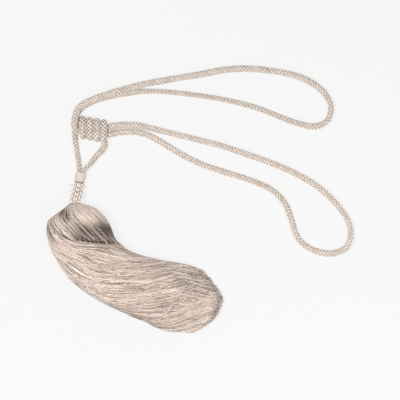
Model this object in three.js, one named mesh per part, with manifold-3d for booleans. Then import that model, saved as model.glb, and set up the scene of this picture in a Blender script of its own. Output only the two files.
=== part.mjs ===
// Curtain tieback of braided cord: two loops pinched by a wound knot, two hanger strands,
// a binding sleeve, a braided neck and a large silky yarn tassel, lying on a flat surface.
// Millimetres, +Z up. The tieback lies on z = 0, seen from above: the loops run to +X,
// the knot is at +Y of the tassel's head, and the origin is under the head's flat underside.

import * as THREE from 'three';
import { mergeVertices } from 'three/addons/utils/BufferGeometryUtils.js';
import Module from 'manifold-3d';

// Cord
const cordWidth = 7.8;          // broad side of the oval braid
const cordThickness = 5.7;      // narrow side
const cordSides = 12;           // facets round the section
const clearance = 0.3;          // gap between pieces that touch
const floorGap = 0.25;          // a lying cord's gap to the surface
const embraceStep = 26;         // longest step along the embrace cord
const hangerStep = 14;          // longest step along a hanger strand
const bendStep = 20;            // about the largest turn in one step, degrees
const windingBendStep = 30;     // the same in the knot

// Knot: turns of the hanger cord wound round the two embrace strands
const knotTilt = -9.5;          // degrees, the barrel's axis against +X
const knotLeftEnd = [-1.2, 133.2];
const knotTurns = 4;
const knotLastPass = 0.33;      // part of the last turn that is wound, over the top to the lower edge
const knotPitch = 8.5;
const knotFirstTurn = 2.6;      // along the barrel from its left end, at its upper edge
const knotStepsPerTurn = 14;
const coreHalfWidth = cordWidth + clearance;           // two strands side by side, with room
const coreHalfHeight = cordThickness / 2;
const knotAxisZ = floorGap + cordThickness + clearance + coreHalfHeight;

// Sleeve and neck
const sleeveTop = [1.4, 78.8, 9.4];
const sleeveBottom = [-0.8, 66.6, 11.4];
const sleeveWidth = 11.9;
const sleeveHeight = 9.2;
const sleeveBulge = 0.35;       // the middle stands proud of the ends
const sleeveEdge = 0.6;         // cut off its two rims
const sleeveFacets = 24;
const neckColumns = 6;          // looped columns round the neck, three of them on top
const neckStitches = 5;         // stitches along each column
const neckRelief = 0.75;        // how far a column or stitch stands out
const columnShare = 0.6;        // part of the relief that is the columns', the rest is the stitches'
const neckStagger = 0.5;        // every other column's stitches lie half a stitch along
const neckSidesPerColumn = 4;
const neckRowsPerStitch = 3;

// Tassel
const headEnd = 6.7;            // station where the fused head ends, inside the locks
const headTaper = [5.55, 0.84]; // station where it starts to sink below them, and its share at the end
const headRows = 11;
const headTwist = 13;           // degrees for each station, how the head's yarns wind round the bulb
const ridgeDepth = 0.055;       // grooves between the head's ridges, as a part of its radius
const ridgeGrows = [0.5, 3];    // stations over which the grooves come in
const ridgeFades = [-0.7, -0.3];    // sines of the angle over which they fade towards the underside
const baseSquareness = 6;       // power of the section's lower half: a level underside
const baseGrows = [0.3, 3];     // stations over which the underside turns from round to level
const topRoundness = 2.25;      // power of its upper half
const levelSnap = 0.16;         // heights under this lie on the surface

// A lock starts at the station root inside the head, sunk a little until the station clear, fills a
// share of its cell, tapers from a part of its length on, and sways from side to side.
const lockShape = {
  root: 5.0, sunk: 0.1, clear: 5.8, share: 0.84, tipFrom: 0.8, tipTaper: 0.55,
  sway: 0.7, swayStep: 1.7, swayAlong: 7,
};

// Rows of a cord's route: over is the height of the cord's underside above the surface,
// roll turns the section's broad side from level towards upright.
const embraceRoute = [
  // x, y, over, roll
  [14.9, 126.4, 6.0, 0], [4.5, 128.1, 6.0, 0], [-2.2, 129.3, 6.1, 8], [-6.3, 132.8, 9.4, 25],
  [-7.2, 138.3, 12.4, 12], [-5.8, 143.9, 12.4, 0], [-4.7, 149.6, 10.3, 0], [-1.6, 155.9, 7.6, 0],
  [4.5, 160.9, 6.2, 0], [18.8, 167.6, 6.0, 0], [39.6, 174.4, 5.6, 0], [60.5, 180.6, 3.4, -20],
  [81.5, 185.6, 0, -10], [115.2, 191.6, 0, 25], [147.6, 197.0, 0, 10], [175.1, 202.0, 0, 0],
  [205.2, 203.1, 0, 20], [237.1, 199.6, 0, 30], [260.4, 194.2, 0, 20], [279.6, 185.4, 0, 10],
  [294.5, 172.2, 0, 30], [301.4, 155.8, 0, 45], [296.6, 140.8, 0, 40], [283.2, 134.0, 0, 20],
  [264.6, 136.6, 0, 30], [244.0, 143.6, 0, 50], [212.4, 155.9, 0, 50], [177.6, 165.0, 0, 60],
  [144.0, 170.7, 0, 70], [108.0, 174.9, 0, 75], [79.5, 176.2, 0, 60], [57.5, 174.2, 0, 15],
  [37.5, 170.8, 0, 0], [18.4, 165.6, 0, 0], [4.8, 158.6, 0, 0], [-2.0, 152.2, 2.0, 0],
  [-5.2, 146.2, 5.0, 0], [-5.3, 141.2, 6.2, 10], [-1.9, 137.8, 6.1, 8], [3.5, 136.6, 6.0, 0],
  [18.0, 134.05, 5.85, 0], [29.0, 132.2, 5.85, 0], [40.3, 134.4, 3.4, 10], [54.0, 136.0, 0.3, 20],
  [72.5, 134.8, 0, 30], [97.4, 128.6, 0, 40], [133.2, 119.9, 0, 40], [170.9, 110.1, 0, 35],
  [203.5, 99.3, 0, 35], [238.0, 86.6, 0, 30], [265.2, 73.9, 0, 30], [289.6, 58.0, 0, 30],
  [307.4, 41.2, 0, 40], [321.2, 21.6, 0, 40], [325.2, 5.2, 0, 40], [320.2, -10.8, 0, 30],
  [304.4, -18.3, 0, 20], [285.4, -16.4, 0, 25], [268.0, -7.4, 0, 40], [258.6, 6.0, 0, 40],
  [253.8, 21.8, 0, 30], [246.2, 41.0, 0, 35], [231.6, 56.6, 0, 40], [207.7, 68.1, 0, 45],
  [170.9, 79.9, 0, 35], [146.4, 88.3, 0, 35], [121.9, 100.2, 0, 30], [98.2, 114.5, 0, 30],
  [77.8, 124.9, 0, 25], [60.5, 127.6, 0.2, 15], [43.5, 126.2, 2.6, 5], [33.2, 124.2, 5.8, 0],
  [25.0, 124.75, 6.0, 0], [15.25, 126.35, 6.0, 0],
];
const windingStart = [
  // x, y, over, roll
  [-5.1, 134.75, 0, 0], [-4.3, 137.6, 0, 0], [-2.3, 141.0, 0, 0], [1.83, 142.83, 1.8, 0],
];
const windingFinish = [
  // x, y, over, roll
  [28.25, 119.55, 11.7, 0], [28.65, 117.97, 10.75, 0],
];
const leftStrandRoute = [
  // x, y, over, roll
  [-1.5, 79.7, 5.2, 90], [-0.8, 83.6, 4.5, 88], [-1.5, 90.0, 2.4, 66], [-2.8, 98.4, 0.6, 54],
  [-4.4, 107.2, 0, 46], [-5.6, 116.4, 0, 40], [-6.2, 125.5, 0, 28], [-5.9, 131.0, 0, 5],
  [-5.2, 134.3, 0, 0],
];
const rightStrandRoute = [
  // x, y, over, roll
  [28.95, 117.2, 10.05, 0], [29.2, 115.6, 8.4, 0], [29.4, 113.7, 5.5, 0], [29.4, 111.2, 2.2, 0],
  [28.1, 108.2, 0, 10], [24.6, 103.8, 0, 20], [19.6, 98.2, 0.3, 35], [13.8, 90.7, 2.0, 55],
  [8.8, 85.3, 4.0, 80], [5.5, 82.5, 4.6, 90], [4.4, 78.85, 5.2, 90],
];
const neckRoute = [
  // x, y, z, half width, half height
  [-0.86, 66.25, 11.46, 5.3, 4.3], [-1.35, 63.6, 11.9, 5.6, 4.7], [-2.6, 58.0, 13.6, 6.0, 5.2],
  [-4.3, 51.0, 16.8, 6.5, 5.7], [-5.6, 45.6, 19.5, 6.5, 6.0], [-5.75, 44.0, 20.3, 6.4, 6.0],
  [-5.75, 41.85, 20.3, 6.3, 6.0],
];

// Tassel stations from the neck to past the cut end: the outline's left and right points,
// and the heights of the widest level, the top and the underside.
const tasselStations = [
  // leftX, leftY, rightX, rightY, wideZ, topZ, baseZ
  [-12.2, 41.3, 0.4, 41.5, 20.3, 26.2, 14.4],
  [-17.6, 36.6, 7.8, 39.7, 20.2, 33.5, 7.6],
  [-26.8, 29.8, 17.6, 36.2, 20.0, 43.5, 1.4],
  [-37.2, 21.4, 27.0, 28.9, 19.6, 50.5, 0],
  [-39.8, 10.6, 34.7, 18.2, 19.2, 54.0, 0],
  [-38.2, -0.5, 39.6, 6.9, 19.0, 54.5, 0],
  [-33.6, -14.6, 42.8, -0.8, 18.8, 53.0, 0],
  [-25.3, -31.3, 47.6, -6.4, 18.4, 51.0, 0],
  [-10.7, -50.8, 56.4, -13.6, 18.0, 49.0, 0],
  [9.6, -66.8, 69.8, -20.0, 17.2, 47.0, 0],
  [32.7, -80.6, 87.6, -24.6, 16.4, 44.5, 0],
  [56.2, -91.4, 107.5, -28.8, 15.4, 42.0, 0],
  [79.2, -101.4, 125.8, -31.4, 14.4, 39.0, 0],
  [101.7, -111.2, 141.8, -35.8, 13.0, 35.5, 0],
  [123.4, -113.4, 158.8, -41.0, 11.6, 32.0, 0],
  [145.8, -114.6, 177.6, -47.0, 10.2, 28.0, 0],
  [168.0, -115.6, 196.8, -54.0, 9.0, 24.0, 0],
];
const lockRings = [
  // count, inner and outer limit as parts of the section's radius, steps along a lock
  [40, 0.84, 1.0, 7], [30, 0.65, 0.8, 5], [18, 0.42, 0.6, 4], [8, 0.16, 0.38, 3],
];

// Station where the skirt is cut: its middle, how much shorter it is at its left and right corner and
// the power by which that grows from the middle, how much shorter it is above and below, and how far
// neighbouring locks differ.
const cutEnd = {
  middle: 15.4, left: [1.15, 3.3], right: [2.85, 2.4], above: 0.3, below: 1.0,
  ragged: 0.2, raggedStep: 2.4, raggedBeat: 0.9,
};

// Fold across the head's lower right: head yarns dive under the skirt's
const fold = { x: 17, y: -1.5, slope: -0.08, halfLength: 26, headSide: 15, skirtSide: 4.5, depth: 0.3 };

const wasm = await Module();
wasm.setup();

const degrees = THREE.MathUtils.degToRad;
const smooth = THREE.MathUtils.smoothstep;

// A cord's axis: a smooth curve through its rows, with the section's broad side set at each step.
class CordPath extends THREE.CatmullRomCurve3 {
  constructor(points, rolls, longestStep, largestTurn, broadSide = null) {
    super(points, false, 'centripetal');
    this.rolls = rolls;
    this.broadSide = broadSide;
    this.stations = [0];
    const last = points.length - 1;
    for (let i = 0; i < last; i++) {
      const bend = this.getTangent(i / last).angleTo(this.getTangent((i + 1) / last));
      const length = points[i].distanceTo(points[i + 1]);
      const parts = Math.max(1, Math.round(length / longestStep), Math.round(bend / degrees(largestTurn)));
      for (let k = 1; k <= parts; k++) this.stations.push((i + k / parts) / last);
    }
  }

  getSpacedPoints() {
    return this.stations.map((t) => this.getPoint(t));
  }

  rollAt(t) {
    const place = t * (this.rolls.length - 1);
    const i = Math.min(Math.floor(place), this.rolls.length - 2);
    return THREE.MathUtils.lerp(this.rolls[i], this.rolls[i + 1], place - i);
  }

  computeFrenetFrames() {
    const up = new THREE.Vector3(0, 0, 1);
    const tangents = this.stations.map((t) => this.getTangent(t));
    const normals = tangents.map((tangent, i) => {
      const side = this.broadSide ? this.broadSide.clone() : up.clone().cross(tangent);
      side.addScaledVector(tangent, -side.dot(tangent)).normalize();
      return side.applyAxisAngle(tangent, degrees(this.rollAt(this.stations[i])));
    });
    const binormals = tangents.map((tangent, i) => tangent.clone().cross(normals[i]));
    return { tangents, normals, binormals };
  }
}

// Half height of the lying oval section, turned by its roll.
function lyingHalfHeight(roll) {
  return Math.hypot(cordWidth / 2 * Math.sin(degrees(roll)), cordThickness / 2 * Math.cos(degrees(roll)));
}

function routePoint([x, y, over, roll]) {
  return new THREE.Vector3(x, y, lyingHalfHeight(roll) + floorGap + over);
}

function cordSection() {
  const corners = [];
  for (let i = 0; i < cordSides; i++) {
    const angle = (i + 0.5) * 2 * Math.PI / cordSides;
    corners.push(new THREE.Vector2(cordWidth / 2 * Math.cos(angle), cordThickness / 2 * Math.sin(angle)));
  }
  return new THREE.Shape(corners);
}

function sweptCord(path) {
  const steps = path.stations.length - 1;
  return new THREE.ExtrudeGeometry(cordSection(), { steps, bevelEnabled: false, extrudePath: path });
}

function lyingCord(route, longestStep) {
  return sweptCord(new CordPath(route.map(routePoint), route.map((row) => row[3]), longestStep, bendStep));
}

// The knot's own directions: along the barrel, and across it in the lying plane.
const barrelAlong = new THREE.Vector3(Math.cos(degrees(knotTilt)), Math.sin(degrees(knotTilt)), 0);
const barrelAcross = new THREE.Vector3(-barrelAlong.y, barrelAlong.x, 0);

function barrelPoint(along, across, z) {
  return new THREE.Vector3(knotLeftEnd[0], knotLeftEnd[1], z)
    .addScaledVector(barrelAlong, along)
    .addScaledVector(barrelAcross, across);
}

// One turn runs over the top from the upper edge to the lower edge and back underneath, round
// the core of two strands: a stadium with straight runs over and under and round ends.
function turnPoint(turn) {
  const endRadius = coreHalfHeight + clearance + cordThickness / 2;
  const straight = 2 * (coreHalfWidth - coreHalfHeight);
  const round = Math.PI * endRadius;
  const loop = 2 * (straight + round);
  let run = ((turn % 1) + 1) % 1 * loop + round / 2;
  let across;
  let height;
  if (run > loop) run -= loop;
  if (run < round) {
    const angle = -Math.PI / 2 + run / endRadius;
    across = straight / 2 + endRadius * Math.cos(angle);
    height = endRadius * Math.sin(angle);
  } else if (run < round + straight) {
    across = straight / 2 - (run - round);
    height = endRadius;
  } else if (run < 2 * round + straight) {
    const angle = Math.PI / 2 + (run - round - straight) / endRadius;
    across = -straight / 2 + endRadius * Math.cos(angle);
    height = endRadius * Math.sin(angle);
  } else {
    across = -straight / 2 + (run - 2 * round - straight);
    height = -endRadius;
  }
  return barrelPoint(knotFirstTurn + knotPitch * turn, across, knotAxisZ + height);
}

// The winding: in from under the embrace strands, four passes over the top, out at the lower edge.
function knotWinding() {
  const turns = knotTurns - 1 + knotLastPass;
  const count = Math.round(turns * knotStepsPerTurn);
  const points = windingStart.map(routePoint);
  for (let i = 0; i <= count; i++) points.push(turnPoint(i * turns / count));
  points.push(...windingFinish.map(routePoint));
  const rolls = points.map(() => 0);
  return sweptCord(new CordPath(points, rolls, cordThickness * 2, windingBendStep, barrelAlong));
}

// A closed skin from rows of points: each row is a ring that runs clockwise seen along the rows,
// and the two end rings are closed by fans about their middle points.
function ringSkin(rows) {
  const sides = rows[0].length;
  const positions = [];
  const index = [];
  for (const row of rows) for (const point of row) positions.push(point.x, point.y, point.z);
  for (let r = 0; r < rows.length - 1; r++) {
    for (let i = 0; i < sides; i++) {
      const a = r * sides + i;
      const b = r * sides + (i + 1) % sides;
      index.push(a, b, b + sides, a, b + sides, a + sides);
    }
  }
  const closeEnd = (row, first, outward) => {
    const middle = row.reduce((sum, point) => sum.add(point), new THREE.Vector3()).divideScalar(sides);
    const centre = positions.length / 3;
    positions.push(middle.x, middle.y, middle.z);
    for (let i = 0; i < sides; i++) {
      const a = first + i;
      const b = first + (i + 1) % sides;
      if (outward) index.push(centre, a, b);
      else index.push(centre, b, a);
    }
  };
  closeEnd(rows[0], 0, false);
  closeEnd(rows[rows.length - 1], (rows.length - 1) * sides, true);
  const geometry = new THREE.BufferGeometry();
  geometry.setAttribute('position', new THREE.Float32BufferAttribute(positions, 3));
  geometry.setIndex(index);
  return geometry;
}

// The wound sleeve: a short barrel on an oval section.
function sleeve() {
  const top = new THREE.Vector3(...sleeveTop);
  const bottom = new THREE.Vector3(...sleeveBottom);
  const length = top.distanceTo(bottom);
  const radius = sleeveWidth / 2;
  const profile = [
    [0, 0], [radius - sleeveEdge, 0], [radius, sleeveEdge], [radius + sleeveBulge, length / 2],
    [radius, length - sleeveEdge], [radius - sleeveEdge, length], [0, length],
  ].map(([outwards, height]) => new THREE.Vector2(outwards, height));
  const geometry = new THREE.LatheGeometry(profile, sleeveFacets);
  geometry.scale(1, 1, sleeveHeight / sleeveWidth);
  const mesh = new THREE.Mesh(geometry);
  const along = top.clone().sub(bottom).normalize();
  const across = along.clone().cross(new THREE.Vector3(0, 0, 1)).normalize();
  mesh.matrixAutoUpdate = false;
  mesh.matrix.makeBasis(across, along, across.clone().cross(along));
  mesh.matrix.setPosition(bottom);
  return mesh;
}

// The neck: looped columns stand out round it, and each column is knotted into stitches.
function braidedNeck() {
  const points = neckRoute.map(([x, y, z]) => new THREE.Vector3(x, y, z));
  const axis = new THREE.CatmullRomCurve3(points, false, 'centripetal');
  const sides = neckColumns * neckSidesPerColumn;
  const rowCount = neckStitches * neckRowsPerStitch;
  const rows = [];
  for (let r = 0; r <= rowCount; r++) {
    const t = r / rowCount;
    const place = t * (neckRoute.length - 1);
    const i = Math.min(Math.floor(place), neckRoute.length - 2);
    const halfWidth = THREE.MathUtils.lerp(neckRoute[i][3], neckRoute[i + 1][3], place - i);
    const halfHeight = THREE.MathUtils.lerp(neckRoute[i][4], neckRoute[i + 1][4], place - i);
    const tangent = axis.getTangent(t);
    const across = tangent.clone().cross(new THREE.Vector3(0, 0, 1)).normalize();
    const up = across.clone().cross(tangent);
    const row = [];
    for (let k = 0; k < sides; k++) {
      const angle = -2 * Math.PI * k / sides;
      const column = Math.round(k / neckSidesPerColumn);
      const stagger = column % 2 * neckStagger;
      const ridge = Math.cos(neckColumns * angle);
      const stitch = Math.cos(2 * Math.PI * (t * neckStitches + stagger));
      const inward = neckRelief * (1 - columnShare * ridge - (1 - columnShare) * stitch);
      row.push(axis.getPoint(t)
        .addScaledVector(across, (halfWidth - inward) * Math.cos(angle))
        .addScaledVector(up, (halfHeight - inward) * Math.sin(angle)));
    }
    rows.push(row);
  }
  return ringSkin(rows);
}

// A column of the station table at a place between its rows, on a smooth curve.
function stationValue(place, column) {
  const last = tasselStations.length - 1;
  const i = Math.min(Math.max(Math.floor(place), 0), last - 1);
  const f = place - i;
  const p = (k) => tasselStations[Math.min(Math.max(i + k, 0), last)][column];
  const slopeA = (p(1) - p(-1)) / 2;
  const slopeB = (p(2) - p(0)) / 2;
  return p(0) * (1 + 2 * f) * (1 - f) ** 2 + slopeA * f * (1 - f) ** 2
    + p(1) * f * f * (3 - 2 * f) + slopeB * f * f * (f - 1);
}

// How much of its height the tassel loses at the fold: steep on the skirt's side of the line.
function foldShare(x, y) {
  const along = (x - fold.x) / fold.halfLength;
  const off = y - (fold.y + fold.slope * (x - fold.x));
  const reach = off > 0 ? fold.headSide : fold.skirtSide;
  return fold.depth * Math.exp(-(along ** 4)) * Math.exp(-((off / reach) ** 2));
}

// A point of the tassel: a station along it, and a polar place in its section. The section is
// as wide as the outline, round above and squarish below, and its underside lies level.
function tasselPoint(place, radius, angle) {
  const leftX = stationValue(place, 0);
  const leftY = stationValue(place, 1);
  const rightX = stationValue(place, 2);
  const rightY = stationValue(place, 3);
  const wide = stationValue(place, 4);
  const top = stationValue(place, 5);
  const base = Math.max(stationValue(place, 6), 0);
  const c = Math.cos(angle);
  const s = Math.sin(angle);
  const squareness = THREE.MathUtils.lerp(2, baseSquareness, smooth(place, ...baseGrows));
  const power = s < 0 ? squareness : topRoundness;
  const reach = radius * (Math.abs(c) ** power + Math.abs(s) ** power) ** (-1 / power);
  const x = (leftX + rightX) / 2 + reach * c * (rightX - leftX) / 2;
  const y = (leftY + rightY) / 2 + reach * c * (rightY - leftY) / 2;
  let z = s < 0 ? wide + reach * s * (wide - base) : wide + reach * s * (top - wide);
  z *= 1 - foldShare(x, y);
  if (z < levelSnap) z = 0;
  return new THREE.Vector3(x, y, z);
}

function solidOf(geometry) {
  const bare = new THREE.BufferGeometry();
  bare.setAttribute('position', geometry.getAttribute('position'));
  if (geometry.index) bare.setIndex(geometry.index);
  const merged = mergeVertices(bare, 1e-4);
  const vertProperties = new Float32Array(merged.getAttribute('position').array);
  const triVerts = new Uint32Array(merged.index.array);
  return new wasm.Manifold(new wasm.Mesh({ numProp: 3, vertProperties, triVerts }));
}

function geometryOf(solid) {
  const mesh = solid.getMesh();
  const geometry = new THREE.BufferGeometry();
  geometry.setAttribute('position', new THREE.BufferAttribute(mesh.vertProperties, 3));
  geometry.setIndex(new THREE.BufferAttribute(mesh.triVerts, 1));
  return geometry;
}

// The head: yarns laid over a bulb, as ridges that run on into the outer ring of locks.
function tasselHead() {
  const ridges = lockRings[0][0];
  const rows = [];
  for (let r = 0; r <= headRows; r++) {
    const place = headEnd * r / headRows;
    const sunk = THREE.MathUtils.lerp(1, headTaper[1], smooth(place, headTaper[0], headEnd));
    const row = [];
    for (let k = 0; k < 2 * ridges; k++) {
      const angle = Math.PI * k / ridges + degrees(headTwist) * (headEnd - place);
      const grown = smooth(place, ...ridgeGrows) * smooth(Math.sin(angle), ...ridgeFades);
      const groove = k % 2 * ridgeDepth * grown;
      row.push(tasselPoint(place, (1 - groove) * sunk, angle));
    }
    rows.push(row);
  }
  return ringSkin(rows);
}

// Where a lock is cut: the skirt's end is rounded, shorter below, and a little ragged.
function lockEnd(radius, angle, number) {
  const across = radius * Math.cos(angle);
  const up = radius * Math.sin(angle);
  const [corner, power] = across > 0 ? cutEnd.right : cutEnd.left;
  const shorter = up > 0 ? cutEnd.above : cutEnd.below;
  const raggedness = Math.sin(number * cutEnd.raggedStep) * Math.cos(number * cutEnd.raggedBeat);
  const rounded = corner * Math.abs(across) ** power + shorter * up ** 2;
  return cutEnd.middle - rounded + cutEnd.ragged * raggedness;
}

// A lock: a four-sided bar that keeps to its own cell of the section, and narrows to its end.
function lock(angle, halfAngle, inner, outer, steps, number) {
  const middleRadius = (inner + outer) / 2;
  const halfDepth = (outer - inner) / 2;
  const end = lockEnd(middleRadius, angle, number);
  const rows = [];
  for (let j = 0; j <= steps; j++) {
    const t = j / steps;
    const place = lockShape.root + (end - lockShape.root) * t;
    const buried = 1 - lockShape.sunk * (1 - smooth(place, lockShape.root, lockShape.clear));
    const share = lockShape.share * (1 - lockShape.tipTaper * smooth(t, lockShape.tipFrom, 1));
    const wave = Math.sin(number * lockShape.swayStep + t * lockShape.swayAlong);
    const sway = halfAngle * (1 - share) * lockShape.sway * wave;
    const corners = [[-1, -1], [-1, 1], [1, 1], [1, -1]];
    rows.push(corners.map(([side, out]) => tasselPoint(
      place,
      buried * (middleRadius + (1 - share + out * share) * halfDepth),
      angle + sway + side * share * halfAngle,
    )));
  }
  return ringSkin(rows);
}

function tassel() {
  const solids = [solidOf(tasselHead())];
  let number = 0;
  for (const [count, inner, outer, steps] of lockRings) {
    for (let i = 0; i < count; i++) {
      const angle = 2 * Math.PI * i / count - Math.PI;
      solids.push(solidOf(lock(angle, Math.PI / count, inner, outer, steps, number)));
      number += 1;
    }
  }
  return geometryOf(wasm.Manifold.union(solids));
}

const braidLook = new THREE.MeshStandardMaterial({ color: 0xd9cabb, roughness: 0.55, metalness: 0 });
const sleeveLook = new THREE.MeshStandardMaterial({ color: 0xe6dacd, roughness: 0.45, metalness: 0 });
const yarnLook = new THREE.MeshStandardMaterial({ color: 0xd8c8ba, roughness: 0.4, metalness: 0 });

const tieback = new THREE.Group();

function addPiece(name, shape, look) {
  const mesh = shape.isMesh ? shape : new THREE.Mesh(shape);
  mesh.name = name;
  mesh.material = look.clone();
  tieback.add(mesh);
}

addPiece('embrace_cord', lyingCord(embraceRoute, embraceStep), braidLook);
addPiece('hanger_cord_left', lyingCord(leftStrandRoute, hangerStep), braidLook);
addPiece('hanger_knot', knotWinding(), braidLook);
addPiece('hanger_cord_right', lyingCord(rightStrandRoute, hangerStep), braidLook);
addPiece('binding_sleeve', sleeve(), sleeveLook);
addPiece('braided_neck', braidedNeck(), braidLook);
addPiece('tassel', tassel(), yarnLook);

export default tieback;
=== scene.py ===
import math

import bpy
import numpy as np
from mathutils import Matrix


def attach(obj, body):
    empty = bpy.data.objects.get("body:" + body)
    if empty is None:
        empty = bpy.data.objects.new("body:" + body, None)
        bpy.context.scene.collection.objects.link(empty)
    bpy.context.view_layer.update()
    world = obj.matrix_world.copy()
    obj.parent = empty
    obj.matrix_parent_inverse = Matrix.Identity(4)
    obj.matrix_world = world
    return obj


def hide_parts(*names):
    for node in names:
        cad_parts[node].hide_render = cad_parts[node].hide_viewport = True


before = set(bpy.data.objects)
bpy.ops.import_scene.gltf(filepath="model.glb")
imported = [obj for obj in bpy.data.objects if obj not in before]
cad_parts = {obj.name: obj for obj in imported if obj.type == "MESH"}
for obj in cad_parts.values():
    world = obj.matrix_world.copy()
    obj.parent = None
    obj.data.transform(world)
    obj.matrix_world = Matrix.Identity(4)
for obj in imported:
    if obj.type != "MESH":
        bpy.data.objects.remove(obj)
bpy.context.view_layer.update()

# Curtain tieback lying flat: braided cord loops, a wound knot, a bound sleeve, a braided neck and a tassel.
# Tables are in millimetres, and go through mm into a mesh.
mm = 0.001
drawSeed = 4107
draw = np.random.default_rng(drawSeed)
up = np.array([0.0, 0.0, 1.0])


def smoothStep(x, low, high):  # 0 below low, 1 above high, with a level start and end
    t = np.clip((x - low) / (high - low), 0, 1)
    return t * t * (3 - 2 * t)


def unit(v):  # vectors of length one
    return v / np.maximum(np.linalg.norm(v, axis=-1, keepdims=True), 1e-9)


def alongSteps(count):  # from 0 to 1, a row for every yarn
    return np.linspace(0, 1, count)[None, :]


def roundAngles(count):  # even angles once round
    return np.arange(count) * 2 * np.pi / count


def added(name, data):  # a new object in the scene
    piece = bpy.data.objects.new(name, data)
    bpy.context.scene.collection.objects.link(piece)
    return piece


print("camera")
view = {
    "centre": (144.0, 45.6),  # of the picture, on the floor
    "aimHeight": 8.0,
    "width": 480.0,  # what the picture's width covers
    "distance": 9000.0,
    "sensor": 36.0,
    "seenTo": 100.0,  # metres
}


def addCamera():  # straight above, with a long lens, and +Y up in the picture
    data = bpy.data.cameras.new("camera")
    data.sensor_width = view["sensor"]
    data.lens = view["sensor"] * view["distance"] / view["width"]
    data.clip_end = view["seenTo"]
    camera = added("camera", data)
    x, y = view["centre"]
    camera.location = (x * mm, y * mm, (view["aimHeight"] + view["distance"]) * mm)
    bpy.context.scene.camera = camera


addCamera()


print("cord routes")
cord = {
    "width": 7.8,  # broad side of the oval braid
    "thickness": 5.7,  # narrow side
    "floorGap": 0.25,
    "clearance": 0.3,
    "pitch": 4.2,  # from stitch to stitch along the cord
    "fineStep": 0.7, "samePlace": 1e-6,  # sampling of the axis, and samples that count as one
    "ovalSteps": 720,  # to measure round the section
    "axisSteadied": 2,  # samples on each side that are averaged
    "rollSteadied": 5,  # and for its roll
    "coreShare": 0.84,  # the inside, painted dark as the shade between the stitches, as a part of the section
    "coreStep": 2.4, "coreSides": 12,
    "broadFace": 6.3,  # width of two stitch columns, round the section
    "endRoom": 0.3,  # from the last stitches to the cord's ends
    "lowest": 0.05,  # no point lies lower
    "declaredStep": 3,  # samples of the axis from one stated point to the next
}
cordStitch = {
    "slant": 44.0,  # degrees
    "length": 5.9, "width": 2.55, "height": 1.05,
    "sunk": 0.64,  # its axis, under the oval
    "tilt": 0.3,  # rise from its middle to its inner end
    "tone": 0.8,
    "rows": 4, "sides": 6,
}
stitchForm = {
    "reach": 0.85,  # where a stitch ends, in half lengths
    "pointed": 2.6,  # power by which it narrows
    "leastLength": 0.3, "leastSpread": 0.4,  # shares kept in a column of no width
    "sizeVaries": 0.05, "liftVaries": 0.05, "toneVaries": 0.08,
    "paintedTopLight": 0.13,  # painted light: lighter on top than below
    "paintedOuterShade": 0.08, "paintedEndTone": 0.17,  # painted shade: darker to its outer end, and to both ends, where they tuck under their neighbours
}

# rows: x, y, height of the cord's underside, roll of the broad side from level in degrees
embraceRoute = [
    [14.9, 126.4, 6.0, 0], [4.5, 128.1, 6.0, 0], [-2.2, 129.3, 6.1, 8], [-6.3, 132.8, 9.4, 25],
    [-7.2, 138.3, 12.4, 12], [-5.8, 143.9, 12.4, 0], [-4.7, 149.6, 10.3, 0], [-1.6, 155.9, 7.6, 0],
    [4.5, 160.9, 6.2, 0], [18.8, 167.6, 6.0, 0], [39.6, 174.4, 5.6, 0], [60.5, 180.6, 3.4, -20],
    [81.5, 185.6, 0, -10], [115.2, 191.6, 0, 25], [147.6, 197.0, 0, 10], [175.1, 202.0, 0, 0],
    [205.2, 203.1, 0, 20], [237.1, 199.6, 0, 30], [260.4, 194.2, 0, 20], [279.6, 185.4, 0, 10],
    [294.5, 172.2, 0, 30], [301.4, 155.8, 0, 45], [296.6, 140.8, 0, 40], [283.2, 134.0, 0, 20],
    [264.6, 136.6, 0, 30], [244.0, 143.6, 0, 50], [212.4, 155.9, 0, 50], [177.6, 165.0, 0, 60],
    [144.0, 170.7, 0, 70], [108.0, 174.9, 0, 75], [79.5, 176.2, 0, 60], [57.5, 174.2, 0, 15],
    [37.5, 170.8, 0, 0], [18.4, 165.6, 0, 0], [4.8, 158.6, 0, 0], [-2.0, 152.2, 2.0, 0],
    [-5.2, 146.2, 5.0, 0], [-5.3, 141.2, 6.2, 10], [-1.9, 137.8, 6.1, 8], [3.5, 136.6, 6.0, 0],
    [18.0, 134.05, 5.85, 0], [29.0, 132.2, 5.85, 0], [40.3, 134.4, 3.4, 10], [54.0, 136.0, 0.3, 20],
    [72.5, 134.8, 0, 30], [97.4, 128.6, 0, 40], [133.2, 119.9, 0, 40], [170.9, 110.1, 0, 35],
    [203.5, 99.3, 0, 35], [238.0, 86.6, 0, 30], [265.2, 73.9, 0, 30], [289.6, 58.0, 0, 30],
    [307.4, 41.2, 0, 40], [321.2, 21.6, 0, 40], [325.2, 5.2, 0, 40], [320.2, -10.8, 0, 30],
    [304.4, -18.3, 0, 20], [285.4, -16.4, 0, 25], [268.0, -7.4, 0, 40], [258.6, 6.0, 0, 40],
    [253.8, 21.8, 0, 30], [246.2, 41.0, 0, 35], [231.6, 56.6, 0, 40], [207.7, 68.1, 0, 45],
    [170.9, 79.9, 0, 35], [146.4, 88.3, 0, 35], [121.9, 100.2, 0, 30], [98.2, 114.5, 0, 30],
    [77.8, 124.9, 0, 25], [60.5, 127.6, 0.2, 15], [43.5, 126.2, 2.6, 5], [33.2, 124.2, 5.8, 0],
    [25.0, 124.75, 6.0, 0], [15.25, 126.35, 6.0, 0],
]
leftStrandRoute = [
    [-1.7, 77.0, 5.5, 90], [-0.8, 83.6, 4.5, 88], [-1.5, 90.0, 2.4, 66], [-2.8, 98.4, 0.6, 54],
    [-4.4, 107.2, 0, 46], [-5.6, 116.4, 0, 40], [-6.2, 125.5, 0, 28], [-5.9, 131.0, 0, 5],
    [-5.2, 134.3, 0, 0],
]
windingStart = [
    [-5.1, 134.75, 0, 0], [-4.3, 137.6, 0, 0], [-2.3, 141.0, 0, 0], [1.83, 142.83, 1.8, 0],
]
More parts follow.
